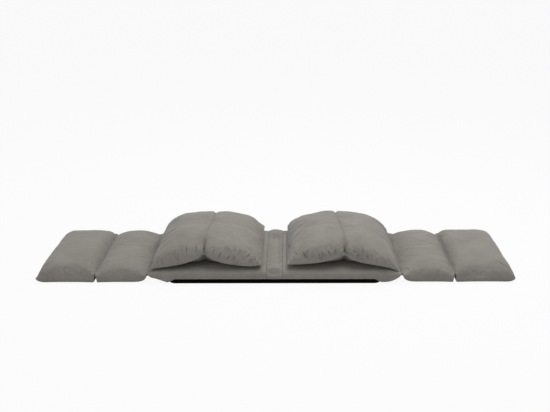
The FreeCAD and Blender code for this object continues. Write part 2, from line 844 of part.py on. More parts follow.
def side_notch(channel, way, width, base):
    """The arch under a pillow's side where the channel's stitching lifts it. It is a round tool
    that slopes down inwards to the pad's top."""
    radius, rise, depth = value("notch_radius"), value("notch_rise"), value("notch_depth")
    slope = Vector(0, way * depth, rise)
    centre = base + rise - radius * slope.Length / depth
    inner = Vector(channel, way * (width - 2 * depth), centre - 2 * rise)
    return Part.makeCylinder(radius, 3 * slope.Length, inner, slope)


def thin_lobe(name, half, start, end, is_last):
    """One lobe of the headrest or leg rest, lying flat on the floor. Beside a fold line its top
    climbs slowly, so that the next piece can come over. Its free end is fuller."""
    seam = value("flap_axis_height")
    least = value("seam_half")
    top = value("lobe_height")
    brow = value("lobe_brow_height")
    run = value("lobe_fold_run")
    far_run = value("lobe_free_run") if is_last else run
    low = -1
    climb = seam + least + LOBE_CLIMB[1] * (brow - seam - least)
    if is_last:
        bulge = SEAM_BULGE[0] * far_run
        under = seam - SEAM_BULGE[1] * (seam - low)
        far_side = [
            (side_view(end - bulge, seam + SEAM_BULGE[1] * (brow - seam)), side_view(end, seam)),
            (side_view(end - bulge, under), side_view(end - LOBE_FOOT * far_run, low)),
        ]
    else:
        near_end = side_view(end, seam + least)
        far_side = [
            (side_view(end - LOBE_CLIMB[0] * run, climb), near_end),
            side_view(end, seam - least),
            side_view(end - LOBE_FOOT * run, low),
        ]
    side = outline(
        side_view(start, seam + least),
        (side_view(start + LOBE_CLIMB[0] * run, climb), side_view(start + run, brow)),
        (side_view((start + run + end - far_run) / 2, top), side_view(end - far_run, brow)),
        *far_side,
        side_view(start + LOBE_FOOT * run, low),
        side_view(start, seam - least),
    )
    width = value(HALF_WIDTH) - value("lobe_side_inset")
    shoulder = value("lobe_shoulder")
    crown = value("lobe_crown")
    section = stuffed_section(width, seam, brow, crown, shoulder, low, shoulder, end + start)
    corner, waist = width - value("lobe_corner_inset"), width - value("lobe_draw_in")
    plan = plan_prism([(start - 1, corner), ((start + end) / 2, waist), (end + 1, corner)])
    body = across(side, width).common(section).common(plan)
    floor = Part.makeBox(end, 2 * width, top, Vector(start - 1, -width, -top))
    feature(name, one_solid(body.cut(floor)), half)


def seam_welt(name, half, x):
    """The corded seam on a fold line, which the lobes beside it turn about."""
    welt = DOC.addObject("Part::Cylinder", f"{name}_cord")
    welt.setExpression("Radius", bound("welt_diameter / 2"))
    length = "(chair_width - 2 * (lobe_side_inset + lobe_draw_in))"
    welt.setExpression("Height", bound(length))
    sign = "" if half == "seat" else "-"
    welt.Placement = Placement(Vector(), Rotation(Vector(1, 0, 0), -90))
    welt.setExpression("Placement.Base.x", bound(f"{sign}({x})"))
    welt.setExpression("Placement.Base.y", bound(f"-{length} / 2"))
    welt.setExpression("Placement.Base.z", bound("flap_axis_height"))
    return finish(welt, name)


def flap(name, half):
    """Headrest or leg rest: two lobes, a corded seam at the pad's nose and one between them."""
    reach = "(welt_diameter / 2 + soft_gap)"
    fold = f"({PAD_END} + {reach})"
    channel = f"({fold} + inner_lobe_length)"
    seam_welt(f"{name}_hinge_seam", half, fold)
    seam_welt(f"{name}_channel_seam", half, channel)
    gap = value(reach)
    outer_end = value(channel) + value("outer_lobe_length")
    thin_lobe(f"{name}_inner_pillow", half, value(fold) + gap, value(channel) - gap, False)
    thin_lobe(f"{name}_outer_pillow", half, value(channel) + gap, outer_end, True)


# The chair

for chair_half in ("seat", "back"):
    base_cover(chair_half)
    frame(chair_half)
    cross_tubes(chair_half)
    webbing(chair_half)
    upholstered_pad(chair_half)
    thick_pillow(chair_half)

hinge_gusset()
flap("headrest", "back")
flap("legrest", "seat")

for chair_side in ("right", "left"):
    cheek(chair_side, "outer_cheek")
    cheek(chair_side, "inner_cheek")
    ratchet_plate(chair_side)
    pawl(chair_side)
    pawl_spring(chair_side)

bolts("pivot_bolts", [("0", "hinge_height")], "pivot_diameter", "pivot_flats", STACK_END, LEG_FACE)
pawl_pins()
plate_bolts("seat_bolts", "", STACK_END)
plate_bolts("back_bolts", "-", f"({LAYERS['ratchet']} - plate_thickness)")

DOC.recompute()

for thing in DOC.Objects:
    if "Invalid" in thing.State or "Error" in thing.State:
        raise RuntimeError(f"{thing.Label} failed: {thing.State}")
for thing in FINISHED:
    if thing.Shape.isNull() or not thing.Shape.isValid() or not thing.Shape.Solids:
        raise RuntimeError(f"{thing.Label} has no valid solid")

os.makedirs("parts", exist_ok=True)
for thing in FINISHED:
    thing.Shape.exportStep(f"parts/{thing.Label}.step")
print(f"{len(FINISHED)} sub-parts written")
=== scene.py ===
import json
import math

import bpy
import numpy as np
from mathutils import Matrix, Vector, noise


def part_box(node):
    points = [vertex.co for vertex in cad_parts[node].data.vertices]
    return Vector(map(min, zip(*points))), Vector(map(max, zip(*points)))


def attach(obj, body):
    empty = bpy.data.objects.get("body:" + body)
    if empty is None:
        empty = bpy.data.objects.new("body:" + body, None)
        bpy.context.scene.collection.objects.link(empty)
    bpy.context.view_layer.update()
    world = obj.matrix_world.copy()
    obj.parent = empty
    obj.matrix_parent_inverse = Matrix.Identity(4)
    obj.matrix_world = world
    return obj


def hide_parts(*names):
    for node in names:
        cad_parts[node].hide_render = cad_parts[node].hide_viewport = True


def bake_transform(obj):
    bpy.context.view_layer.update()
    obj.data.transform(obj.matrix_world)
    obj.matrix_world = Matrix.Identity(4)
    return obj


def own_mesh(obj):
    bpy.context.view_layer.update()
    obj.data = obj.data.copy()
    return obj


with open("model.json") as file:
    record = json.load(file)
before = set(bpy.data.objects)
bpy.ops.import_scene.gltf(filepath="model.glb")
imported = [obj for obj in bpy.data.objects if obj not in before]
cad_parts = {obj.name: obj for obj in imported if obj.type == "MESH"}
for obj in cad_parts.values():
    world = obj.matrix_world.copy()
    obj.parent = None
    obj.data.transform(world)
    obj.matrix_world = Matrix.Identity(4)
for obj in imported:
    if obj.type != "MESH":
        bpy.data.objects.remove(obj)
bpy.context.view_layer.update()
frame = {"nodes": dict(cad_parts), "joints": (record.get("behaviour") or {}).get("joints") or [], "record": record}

# Places taken from the frame, in metres. The back half is the seat half turned round, so
# every soft piece is made on the +X side first.
JOINTS = {joint["name"]: joint for joint in frame["joints"]}
FOLD_X, _, FOLD_Z = JOINTS["legrest_fold"]["pos_m"]
CHANNEL_X = JOINTS["legrest_tip_fold"]["pos_m"][0]
PAD_LOW, PAD_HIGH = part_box("seat_pad_cover")
_, BASE_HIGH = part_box("seat_base_cover")
PILLOW_LOW, PILLOW_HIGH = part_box("seat_pillow")
LOBE_LOW, LOBE_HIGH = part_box("legrest_inner_pillow")
TIP_LOW, TIP_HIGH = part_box("legrest_outer_pillow")
GUSSET_LOW, GUSSET_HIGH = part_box("hinge_gusset")
WELT_LOW, WELT_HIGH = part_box("legrest_channel_seam")
PILLOW_CHANNEL = 0.302


# Numbers on grids. A sheet is a grid of points: its first axis runs along X and its second
# across the chair, from the near side to the far side.


def through(knots, x):
    """A smooth curve through (place, value) knots that never swings past them."""
    place, value = np.array(knots, float).T
    rise = np.diff(value) / np.diff(place)
    level = rise[:-1] * rise[1:] <= 0
    total = np.where(level, 1, rise[:-1] + rise[1:])
    slope = np.concatenate([rise[:1], np.where(level, 0, 2 * rise[:-1] * rise[1:] / total), rise[-1:]])
    i = np.clip(np.searchsorted(place, x) - 1, 0, len(place) - 2)
    gap = place[i + 1] - place[i]
    t = np.clip((x - place[i]) / gap, 0, 1)
    start = (1 + 2 * t) * (1 - t) ** 2 * value[i] + t * (1 - t) ** 2 * gap * slope[i]
    end = t * t * (3 - 2 * t) * value[i + 1] + t * t * (t - 1) * gap * slope[i + 1]
    return start + end


def step(x, low, high):
    """0 below low, 1 above high, and smooth between them."""
    t = np.clip((x - low) / (high - low), 0, 1)
    return t * t * (3 - 2 * t)


def evened(curve, count):
    """Points spaced evenly along a dense curve."""
    length = np.concatenate([[0], np.cumsum(np.linalg.norm(np.diff(curve, axis=0), axis=1))])
    places = np.linspace(0, length[-1], count)
    return np.stack([np.interp(places, length, part) for part in curve.T], axis=1)


def stations(knots, start, end, count):
    """Places along X that are evenly spaced on a profile."""
    x = np.linspace(start, end, 2000)
    places = evened(np.stack([x, through(knots, x)], axis=1), count)[:, 0]
    places[[0, -1]] = start, end
    return places


def arch(count, fullness, aspect):
    """Across and up shares of a stuffed section, from one rim over the crown to the other."""
    turn = np.linspace(-math.pi / 2, math.pi / 2, 3001)
    across = np.sign(turn) * np.abs(np.sin(turn)) ** (2 / fullness)
    up = np.abs(np.cos(turn)) ** (2 / fullness) * aspect
    across, up = evened(np.stack([across, up], axis=1), count).T
    up[[0, -1]] = 0
    return across, up / aspect


def sheet(places, width, rim, crown, section):
    """The upper sheet of a cushion, with one crowned section at each place along X."""
    across, up = section
    grid = np.zeros((len(places), len(across), 3))
    grid[..., 0] = places[:, None]
    grid[..., 1] = width[:, None] * across
    grid[..., 2] = rim[:, None] + (crown - rim)[:, None] * up
    return grid


def finer(grid, axes=(0, 1)):
    """The same sheet with a point added between every two, along each axis in turn. The points lie
    on a smooth curve."""
    for axis in axes:
        grid = np.moveaxis(grid, axis, 0)
        longer = np.concatenate([2 * grid[:1] - grid[1:2], grid, 2 * grid[-1:] - grid[-2:-1]])
        filled = np.empty((2 * len(grid) - 1, *grid.shape[1:]))
        filled[::2] = grid
        filled[1::2] = (9 * (longer[1:-2] + longer[2:-1]) - longer[:-3] - longer[3:]) / 16
        grid = np.moveaxis(filled, 0, axis)
    return grid


def outward(grid):
    """Unit normals of a sheet."""
    normal = np.cross(np.gradient(grid, axis=0), np.gradient(grid, axis=1))
    return normal / np.maximum(np.linalg.norm(normal, axis=2, keepdims=True), 1e-12)


def walked(grid, axis):
    """Distance over the sheet from its first edge."""
    grid = np.moveaxis(grid, axis, 0)
    steps = np.linalg.norm(np.diff(grid, axis=0), axis=2)
    return np.moveaxis(np.concatenate([np.zeros_like(steps[:1]), np.cumsum(steps, axis=0)]), 0, axis)


def rough(grid, size, seed):
    """Smooth random values from -1 to 1 over a sheet, in lumps of that size."""
    shift = Vector((seed * 7.31, seed * 3.17, seed * 5.53))
    points = grid.reshape(-1, 3) / size
    roughness, lacunarity, octaves = 1.0, 2.0, 2
    values = [noise.fractal(Vector(point) + shift, roughness, lacunarity, octaves) for point in points]
    return np.array(values).reshape(grid.shape[:2])


def share_rim(top, bottom):
    """Give the lower sheet of a cushion the rim of the upper one."""
    bottom[[0, -1]] = top[[0, -1]]
    bottom[:, [0, -1]] = top[:, [0, -1]]


def gathers(along, climb, seed, pitch, height, reach, depth):
    """Short creases that stand side by side above a seam, at uneven places along it."""
    random = np.random.default_rng(seed)
    sunk = np.zeros_like(along)
    place = pitch
    while place < along.max() - pitch:
        middle = height * random.uniform(0.5, 1.5)
        length = reach * random.uniform(0.6, 1.6)
        lean = random.uniform(-0.5, 0.5)
        width = pitch * random.uniform(0.13, 0.22)
        strength = depth * random.uniform(0.3, 1.0)
        offset = (along - place - lean * (climb - middle)) / width
        stroke = (1 - 0.8 * offset ** 2) * np.exp(-offset ** 2 / 1.6)
        sunk += strength * stroke * np.exp(-((climb - middle) / length) ** 2)
        place += pitch * random.uniform(0.5, 1.6)
    return sunk


CHANNEL_GATHERS = dict(pitch=0.021, height=0.014, reach=0.011, depth=0.0022)
RIM_WIDTH = 0.012


def sewn(grid, seed, side_gathers, end_gathers, lumps, channel_row=None, channel=None):
    """Work gathers, lumps and a sewn channel into the upper sheet of a cushion. A channel is its
    depth and width at the middle, and its depth and width at its two ends."""
    normal = outward(grid)
    across, along = walked(grid, 1), walked(grid, 0)
    from_sides = (across, across[:, -1:] - across)
    from_ends = (along, along[-1:] - along)
    near_side = np.minimum(*from_sides)
    near_end = np.minimum(*from_ends)
    sunk = np.zeros_like(along)
    for number, climb in enumerate(from_sides):
        sunk += gathers(along, climb, seed + number, **side_gathers)
    for number, climb in enumerate(from_ends):
        sunk += gathers(across, climb, seed + 2 + number, **end_gathers)
    if channel_row is not None:
        distance = np.abs(along - along[channel_row])
        depth, width, end_depth, end_width = channel
        end_share = 1 - step(near_side, 0.02, 0.10)
        width = width + (end_width - width) * end_share
        depth = depth + (end_depth - depth) * end_share
        t = np.clip(distance / width, 0, 1)
        sunk += depth * (1 - np.sqrt(1 - (1 - t) ** 2))
        sunk += gathers(across, distance, seed + 4, **CHANNEL_GATHERS)
    swell = rough(grid * (1, 0.7, 1), 0.10, seed) * lumps + rough(grid, 0.035, seed + 5) * lumps * 0.3
    rim = step(near_side, 0, RIM_WIDTH) * step(near_end, 0, RIM_WIDTH)
    return grid + normal * ((swell - sunk) * rim)[..., None]


# Meshes


def closed_bag(name, top, bottom):
    """A closed mesh of two sheets that share their rim."""
    rows, columns = top.shape[:2]
    index = np.arange(rows * columns).reshape(rows, columns)
    under = index.copy()
    inside = np.arange((rows - 2) * (columns - 2)).reshape(rows - 2, columns - 2)
    under[1:-1, 1:-1] = rows * columns + inside
    points = np.concatenate([top.reshape(-1, 3), bottom[1:-1, 1:-1].reshape(-1, 3)])
    faces = []
    for grid, turned in ((index, False), (under, True)):
        corners = [grid[:-1, :-1], grid[1:, :-1], grid[1:, 1:], grid[:-1, 1:]]
        quads = np.stack([corner.ravel() for corner in corners], axis=1)
        faces += (quads[:, ::-1] if turned else quads).tolist()
    return new_piece(name, points, faces)


def new_piece(name, points, faces):
    """A smooth mesh object in the scene."""
    mesh = bpy.data.meshes.new(name)
    mesh.from_pydata([tuple(point) for point in points], [], faces)
    mesh.shade_smooth()
    piece = bpy.data.objects.new(name, mesh)
    bpy.context.scene.collection.objects.link(piece)
    return piece


SWELL_FRAMES = 20
UNDERSIDE_HOLD = 0.6


def plumped(name, top, bottom, travel, spare):
    """Let a bag swell as cloth that is held along its seams. No point moves further than travel, and
    spare is what the cloth shrinks by, below 0 where it has width to spare."""
    bag = closed_bag(f"{name}_swelling", top, bottom)
    rows, columns = top.shape[:2]
    held = np.ones((rows, columns), bool)
    held[1:-1, 1:-1] = False
    seam = bag.vertex_groups.new(name="seam")
    seam.add(np.flatnonzero(held).tolist(), 1.0, "REPLACE")
    seam.add(list(range(rows * columns, len(bag.data.vertices))), UNDERSIDE_HOLD, "REPLACE")
    cloth = bag.modifiers.new("swell", "CLOTH")
    cloth.settings.quality = 5
    cloth.settings.mass = 0.25
    cloth.settings.tension_stiffness = cloth.settings.compression_stiffness = 12
    cloth.settings.shear_stiffness = 4
    cloth.settings.bending_stiffness = 0.25
    cloth.settings.shrink_min = spare
    cloth.settings.use_pressure = True
    cloth.settings.uniform_pressure_force = 4
    cloth.settings.effector_weights.gravity = 0
    cloth.settings.vertex_group_mass = "seam"
    cloth.point_cache.frame_start = 1
    cloth.point_cache.frame_end = SWELL_FRAMES
    for number in range(1, SWELL_FRAMES + 1):
        bpy.context.scene.frame_set(number)
    swollen = bag.evaluated_get(bpy.context.evaluated_depsgraph_get()).data
    points = np.empty(len(swollen.vertices) * 3, np.float32)
    swollen.vertices.foreach_get("co", points)
    before = np.concatenate([top.reshape(-1, 3), bottom[1:-1, 1:-1].reshape(-1, 3)])
    move = points.reshape(-1, 3).astype(float) - before
    size = np.maximum(np.linalg.norm(move, axis=1, keepdims=True), 1e-9)
    after = before + move / size * travel * np.tanh(size / travel)
    bpy.data.objects.remove(bag)
    bpy.context.scene.frame_set(1)
    top = after[:rows * columns].reshape(rows, columns, 3)
    bottom = top.copy()
    bottom[1:-1, 1:-1] = after[rows * columns:].reshape(rows - 2, columns - 2, 3)
    return top, bottom


def cushion(name, top, bottom, sign, body, fill, *nodes):
    """Close a cushion, turn it to its half, and let it stand for its CAD nodes."""
    top, bottom = (grid * (sign, 1, 1) for grid in (top, bottom))
    if sign < 0:
        top, bottom = top[::-1], bottom[::-1]
    piece = dress(closed_bag(name, top, bottom), "upholstery", body, *nodes)
    return piece


def dress(piece, slot, body, *nodes):
    """Give a piece the finish of a slot, let it ride on a body, and let it stand for CAD nodes."""
    piece.data.materials.clear()
    piece.data.materials.append(MATERIALS[slot])
    if body:
        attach(piece, body)
    if nodes:
        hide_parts(*nodes)
    return piece


# Materials


class Nodes:
    """Short names for building one material's node tree."""

    def __init__(self, name):
        self.material = bpy.data.materials.new(name)
        self.material.use_nodes = True
        self.tree = self.material.node_tree
        self.shader = self.tree.nodes["Principled BSDF"]
        self.place = self.add("ShaderNodeTexCoord").outputs["Object"]

    def add(self, kind, **settings):
        node = self.tree.nodes.new(kind)
        for name, setting in settings.items():
            setattr(node, name, setting)
        return node

    def link(self, source, target):
        self.tree.links.new(source, target)

    def stretched(self, scale):
        """Object coordinates scaled differently along each axis."""
        mapping = self.add("ShaderNodeMapping")
        mapping.inputs["Scale"].default_value = scale
        self.link(self.place, mapping.inputs["Vector"])
        return mapping.outputs["Vector"]

    def noise(self, scale, detail, place=None, roughness=0.5):
        texture = self.add("ShaderNodeTexNoise")
        texture.inputs["Scale"].default_value = scale
        texture.inputs["Detail"].default_value = detail
        texture.inputs["Roughness"].default_value = roughness
        self.link(place or self.place, texture.inputs["Vector"])
        return texture.outputs["Fac"]

    def wave(self, scale, direction, distortion):
        texture = self.add("ShaderNodeTexWave", bands_direction=direction)
        texture.inputs["Scale"].default_value = scale
        texture.inputs["Distortion"].default_value = distortion
        self.link(self.place, texture.inputs["Vector"])
        return texture.outputs["Fac"]

    def math(self, operation, first, second):
        node = self.add("ShaderNodeMath", operation=operation)
        for socket, source in zip(node.inputs, (first, second)):
            if isinstance(source, (int, float)):
                socket.default_value = source
            else:
                self.link(source, socket)
        return node.outputs[0]

    def ramp(self, source, *stops):
        """Colours or greys along a source, given as (place, colour)."""
        ramp = self.add("ShaderNodeValToRGB")
        elements = ramp.color_ramp.elements
        while len(elements) < len(stops):
            elements.new(0.5)
        for element, (place, colour) in zip(elements, stops):
            element.position = place
            element.color = (*colour, 1)
        self.link(source, ramp.inputs["Fac"])
        return ramp.outputs["Color"]

    def bump(self, height, distance, strength, after=None):
        bump = self.add("ShaderNodeBump")
        bump.inputs["Distance"].default_value = distance
        bump.inputs["Strength"].default_value = strength
        self.link(height, bump.inputs["Height"])
        if after is not None:
            self.link(after, bump.inputs["Normal"])
        return bump.outputs["Normal"]

    def set(self, **values):
        """Set or link inputs of the shader by their names, with _ for a space."""
        for name, value in values.items():
            socket = self.shader.inputs[name.replace("_", " ")]
            if isinstance(value, (int, float, tuple)):
                socket.default_value = value
            else:
                self.link(value, socket)
        return self.material


def shade(colour, factor):
    """The colour, lighter or darker by a factor."""
    return tuple(channel * factor for channel in colour)


def suede():
    """Taupe-grey microfibre with a short nap that lies this way and that."""
    taupe = (0.285, 0.270, 0.243)
    nodes = Nodes("suede")
    patches = nodes.noise(9, 4, roughness=0.6)
    nap = nodes.noise(55, 5, nodes.stretched((1.0, 1.6, 1.3)), 0.62)
    blotch = nodes.math("ADD", nodes.math("MULTIPLY", patches, 0.62), nodes.math("MULTIPLY", nap, 0.38))
    colour = nodes.ramp(blotch, (0.30, shade(taupe, 0.83)), (0.52, taupe), (0.72, shade(taupe, 1.14)))
    fibre = nodes.noise(1100, 2, roughness=0.7)
    pile = nodes.noise(260, 3, nodes.stretched((1.0, 0.7, 1.0)))
    creases = nodes.noise(24, 5, nodes.stretched((1.0, 0.55, 1.0)), 0.55)
    normal = nodes.bump(creases, 0.0035, 0.35)
    normal = nodes.bump(pile, 0.0008, 0.45, normal)
    normal = nodes.bump(fibre, 0.0003, 0.5, normal)
    rough_map = nodes.ramp(nap, (0.3, (0.80,) * 3), (0.7, (0.95,) * 3))
    return nodes.set(
        Base_Color=colour, Roughness=rough_map, Normal=normal, Sheen_Weight=0.25, Sheen_Roughness=0.45,
        Sheen_Tint=(0.86, 0.85, 0.82, 1), Specular_IOR_Level=0.2,
    )


def woven(name, colour, thread, depth, roughness=0.9, gloss=0.25):
    """Plain-woven cloth. Thread is the number of threads in a metre."""
    threads_in_wave = 20
    wobble = 0.3
    nodes = Nodes(name)
    warp, weft, rise = (nodes.wave(thread / threads_in_wave, axis, wobble) for axis in "XYZ")
    weave = nodes.math("MAXIMUM", nodes.math("MULTIPLY", warp, weft), nodes.math("MULTIPLY", rise, 0.7))
    dust = nodes.noise(40, 4)
    tone = nodes.ramp(dust, (0.3, shade(colour, 0.75)), (0.7, shade(colour, 1.25)))
    normal = nodes.bump(weave, depth, 0.8)
    return nodes.set(Base_Color=tone, Roughness=roughness, Normal=normal, Specular_IOR_Level=gloss)


def open_foam():
    """Yellowed foam with open cells."""
    nodes = Nodes("foam")
    cells = nodes.add("ShaderNodeTexVoronoi")
    cells.inputs["Scale"].default_value = 500
    nodes.link(nodes.place, cells.inputs["Vector"])
    tone = nodes.ramp(nodes.noise(14, 3), (0.3, (0.62, 0.55, 0.30)), (0.7, (0.76, 0.70, 0.44)))
    normal = nodes.bump(cells.outputs["Distance"], 0.0008, 0.6)
    return nodes.set(Base_Color=tone, Roughness=0.95, Normal=normal)


def powder_coat():
    """Black powder coat with a fine orange peel."""
    nodes = Nodes("powder_coat")
    tone = nodes.ramp(nodes.noise(30, 4), (0.3, (0.016, 0.016, 0.018)), (0.7, (0.028, 0.028, 0.03)))
    normal = nodes.bump(nodes.noise(700, 2), 0.0002, 0.5)
    return nodes.set(Base_Color=tone, Roughness=0.42, Normal=normal)


def plated(name, colour, roughness):
    """Zinc plate or bare spring steel, brushed along X and dulled in patches."""
    nodes = Nodes(name)
    brushed = nodes.noise(220, 4, nodes.stretched((0.08, 1.0, 1.0)))
    patches = nodes.noise(26, 4)
    tone = nodes.ramp(patches, (0.3, shade(colour, 0.8)), (0.7, colour))
    gloss = nodes.ramp(patches, (0.25, (roughness - 0.08,) * 3), (0.75, (roughness + 0.12,) * 3))
    normal = nodes.bump(brushed, 0.0002, 0.35)
    return nodes.set(Base_Color=tone, Metallic=1.0, Roughness=gloss, Normal=normal)


MATERIALS = {
    "upholstery": suede(),
    "base_fabric": woven("base_cloth", (0.0013, 0.0012, 0.0011), 900, 0.0004, 0.95, 0.06),
    "webbing": woven("webbing", (0.045, 0.045, 0.045), 500, 0.0008),
    "foam": open_foam(),
    "frame_paint": powder_coat(),
    "hinge_steel": plated("zinc_plate", (0.52, 0.52, 0.50), 0.34),
    "spring_steel": plated("spring_steel", (0.30, 0.30, 0.32), 0.28),
    "fastener_steel": plated("zinc_bolts", (0.60, 0.60, 0.60), 0.30),
}


# The pads. Each is a soft slab on its black base, and its outer end turns up into a nose.

PAD_TOP = PAD_HIGH.z
CLEAR = 0.0003
BASE_END = BASE_HIGH.x + 0.0004
PAD_PAST_BASE = BASE_HIGH.x + 0.0024
PAD_TOP_LINE = [
    (PAD_LOW.x, 0.0650), (0.040, 0.0664), (0.055, PAD_TOP), (0.470, PAD_TOP), (0.500, 0.0640),
    (0.520, 0.0580), (0.533, 0.0520), (PAD_HIGH.x, FOLD_Z),
]
PAD_UNDER_LINE = [
    (PAD_LOW.x, BASE_HIGH.z + CLEAR), (BASE_END, BASE_HIGH.z + CLEAR), (PAD_PAST_BASE, 0.0105),
    (0.475, 0.0090), (0.500, 0.0125), (0.520, 0.0190), (0.535, 0.0290), (PAD_HIGH.x, FOLD_Z),
]
PAD_SIDE_LINE = [
    (PAD_LOW.x, 0.0215), (0.425, 0.0215), (0.447, 0.0120), (0.460, 0.0075), (0.478, 0.0080),
    (0.505, 0.0140), (0.527, 0.0250), (PAD_HIGH.x, FOLD_Z),
]
PAD_WIDTH = PAD_HIGH.y + 0.0012
PAD_FULLNESS, PAD_ASPECT = 5.0, 0.16
PAD_COLUMNS = 100
# The pad's underside is narrower than its top, and stays above the base within this half width
PAD_UNDER_INSET = 0.0028
BASE_INSIDE = 0.2785
PAD_GATHERS = dict(pitch=0.05, height=0.016, reach=0.012, depth=0.0016)


def pad(half, sign, seed, nose_lift):
    """A soft slab over one half's frame. Nose_lift raises its sides and underside before the nose."""
    places = np.concatenate([
        np.linspace(PAD_LOW.x, BASE_END, 60),
        stations(PAD_TOP_LINE, PAD_PAST_BASE, PAD_HIGH.x, 17),
    ])
    side, crown = through(PAD_SIDE_LINE, places), through(PAD_TOP_LINE, places)
    lift = nose_lift * step(places, 0.455, 0.495) * (1 - step(places, 0.505, PAD_HIGH.x))
    side = side + lift
    width = PAD_WIDTH - 0.004 * step(places, 0.50, PAD_HIGH.x)
    top = sheet(places, width, side, crown, arch(PAD_COLUMNS, PAD_FULLNESS, PAD_ASPECT))
    bottom = top.copy()
    inset = np.linspace(-1, 1, PAD_COLUMNS - 2)
    bottom[:, 1:-1, 1] = (width[:, None] - PAD_UNDER_INSET) * inset
    bottom[:, 1:-1, 2] = (through(PAD_UNDER_LINE, places) + lift)[:, None]
    share_rim(top, bottom)
    top, bottom = finer(top), finer(bottom)
    on_base = (bottom[..., 0] < BASE_HIGH.x + CLEAR) & (np.abs(bottom[..., 1]) < BASE_INSIDE)
    bottom[..., 2] = np.maximum(bottom[..., 2], np.where(on_base, BASE_HIGH.z + 0.0002, 0))
    top = sewn(top, seed, PAD_GATHERS, dict(PAD_GATHERS, height=0.012, depth=0.0008), 0.0012)
    cushion(f"{half}_pad", top, bottom, sign, half, 0.9, f"{half}_pad_cover", f"{half}_foam")


# The thick pillows. Their lower side edges hang in two scallops that meet at the channel.

PILLOWS = {
    "seat": {
        "sign": 1,
        "seed": 11,
        "crown": [
            (0.055, 0.082), (0.061, 0.106), (0.072, 0.130), (0.100, 0.156), (0.130, 0.169), (0.170, 0.181),
            (0.230, 0.190), (0.300, 0.190), (0.360, 0.187), (0.400, 0.181), (0.440, 0.169), (0.475, 0.152),
            (0.502, 0.127), (0.520, 0.097), (0.533, 0.058),
        ],
        "inner_edge": [(0.055, 0.082), (0.112, 0.084), (0.200, 0.093), (PILLOW_CHANNEL, 0.117)],
        "outer_edge": [
            (PILLOW_CHANNEL, 0.117), (0.335, 0.100), (0.368, 0.091), (0.433, 0.079), (0.490, 0.067),
            (0.533, 0.058),
        ],
        "droop": 0.010,
    },
    "back": {
        "sign": -1,
        "seed": 23,
        "crown": [
            (0.055, 0.080), (0.061, 0.106), (0.072, 0.131), (0.100, 0.157), (0.130, 0.170), (0.170, 0.181),
            (0.220, 0.188), (0.280, 0.191), (0.350, 0.191), (0.410, 0.187), (0.450, 0.177), (0.480, 0.162),
            (0.504, 0.138), (0.521, 0.106), (0.533, 0.064),
        ],
        "inner_edge": [
            (0.055, 0.080), (0.100, 0.075), (0.189, 0.084), (0.253, 0.099), (PILLOW_CHANNEL, 0.122),
        ],
        "outer_edge": [
            (PILLOW_CHANNEL, 0.122), (0.340, 0.103), (0.403, 0.084), (0.470, 0.072), (0.533, 0.064),
        ],
        "droop": 0.002,
    },
}
# The crowns above are those of the finished pillows, so each bag starts lower by what it swells
SWELL = 0.0085
PILLOW_TRAVEL, PILLOW_SPARE = 0.010, -0.011
PILLOW_COLUMNS = 98
PILLOW_SIDE_GATHERS = dict(pitch=0.0155, height=0.046, reach=0.011, depth=0.0060)
PILLOW_END_GATHERS = dict(pitch=0.030, height=0.020, reach=0.014, depth=0.0026)
PILLOW_LUMPS = 0.004
CHANNEL_SHAPE = (0.0070, 0.020, 0.016, 0.012)


def thick_pillow(half):
    """A stuffed pillow on one pad, sewn through at a channel across it."""
    shape = PILLOWS[half]
    inner = stations(shape["crown"], PILLOW_LOW.x, PILLOW_CHANNEL, 40)
    outer = stations(shape["crown"], PILLOW_CHANNEL, PILLOW_HIGH.x, 42)
    places = np.concatenate([inner[:-1], outer])
    edge = np.concatenate([through(shape["inner_edge"], inner[:-1]), through(shape["outer_edge"], outer)])
    crown = through(shape["crown"], places)
    crown = crown - SWELL * step(crown - edge, 0, 0.06)
    from_channel = places - PILLOW_CHANNEL
    drawn = np.exp(-(from_channel / 0.05) ** 2)
    pinched = np.exp(-(from_channel / 0.013) ** 2)
    ends = np.abs(places - (PILLOW_LOW.x + PILLOW_HIGH.x) / 2) / (PILLOW_HIGH.x - PILLOW_LOW.x) * 2
    width = PILLOW_HIGH.y - 0.004 - 0.011 * drawn - 0.014 * pinched - 0.004 * ends ** 8
    top = sheet(places, width, edge, crown, arch(PILLOW_COLUMNS, 3.1, 0.42))
    far_share = top[..., 1] / PILLOW_HIGH.y
    top[..., 0] -= 0.022 * step(far_share, -0.75, 0.45) * drawn[:, None] ** 0.3
    corner = np.abs(far_share) ** 8 * step(places, 0.49, PILLOW_HIGH.x)[:, None]
    top[..., 2] -= shape["droop"] * corner
    bottom = top.copy()
    reach = np.linspace(-1, 1, PILLOW_COLUMNS)[1:-1]
    bottom[:, 1:-1, 1] = width[:, None] * np.sign(reach) * np.abs(reach) ** 0.9
    under = np.minimum(through(PAD_TOP_LINE, places) + 0.0012, edge)[:, None]
    side_gap = (width[:, None] - np.abs(bottom[..., 1])) / 0.085
    end_gap = np.minimum(places - PILLOW_LOW.x, PILLOW_HIGH.x - places)[:, None] / 0.045
    lift = np.maximum(1 - step(side_gap, 0, 1), 1 - step(end_gap, 0, 1))
    bottom[..., 2] = under + (top[:, :1, 2] - under) * lift
    share_rim(top, bottom)
    top, bottom = plumped(half, top, bottom, PILLOW_TRAVEL, PILLOW_SPARE)
    top, bottom = finer(top, (0, 1, 0)), finer(bottom, (0, 1, 0))
    bottom[..., 2] = np.maximum(bottom[..., 2], through(PAD_TOP_LINE, bottom[..., 0]) + 0.0008)
    channel_row = 4 * (len(inner) - 1)
    top = sewn(
        top, shape["seed"], PILLOW_SIDE_GATHERS, PILLOW_END_GATHERS, PILLOW_LUMPS, channel_row,
        CHANNEL_SHAPE,
    )
    share_rim(top, bottom)
    piece = cushion(f"{half}_cushion", top, bottom, shape["sign"], half, 0.8, f"{half}_pillow")
    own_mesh(piece)


# The thin lobes of the headrest and leg rest, which lie on the floor

